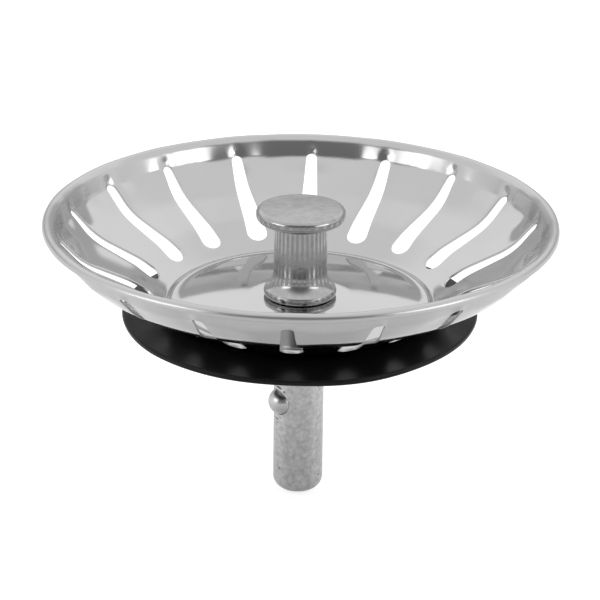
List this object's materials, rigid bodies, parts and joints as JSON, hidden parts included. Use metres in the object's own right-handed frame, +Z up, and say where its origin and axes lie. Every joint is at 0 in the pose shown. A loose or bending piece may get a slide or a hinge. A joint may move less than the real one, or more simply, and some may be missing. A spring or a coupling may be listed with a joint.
{
  "type": "basket strainer",
  "caption": "Sink basket strainer plug: slotted pressed bowl with a pull knob, rubber seal below and a spindle with a spring-loaded ball catch.",
  "frame": {"origin": "lowest point of the spindle, on its axis", "axes": "+Z up along the spindle's axis through the knob; the ball catch faces -X"},
  "size_m": [0.084, 0.084, 0.0506],
  "materials": {
    "stainless_sheet": "bright polished stainless sheet",
    "chromed_knob": "polished chrome plating over a turned knob",
    "seal_rubber": "smooth black moulded rubber with a slight sheen",
    "stainless_washer": "stamped stainless washer",
    "spindle_steel": "satin grey metal with fine mottling and small pits",
    "ball_steel": "polished bearing ball",
    "spring_steel": "drawn spring wire"
  },
  "bodies": {
    "strainer": {"strainer_bowl": "stainless_sheet", "pull_knob": "chromed_knob", "rubber_seal": "seal_rubber", "clamp_washer": "stainless_washer", "spindle": "spindle_steel", "detent_spring": "spring_steel"},
    "ball": {"detent_ball": "ball_steel"}
  },
  "joints": [
    {"name": "ball_press", "type": "slide", "parent": "strainer", "child": "ball", "axis": [1, 0, 0], "range_m": [0, 0.0014], "stiffness_N_per_m": 1500, "deforming": ["detent_spring"]}
  ]
}
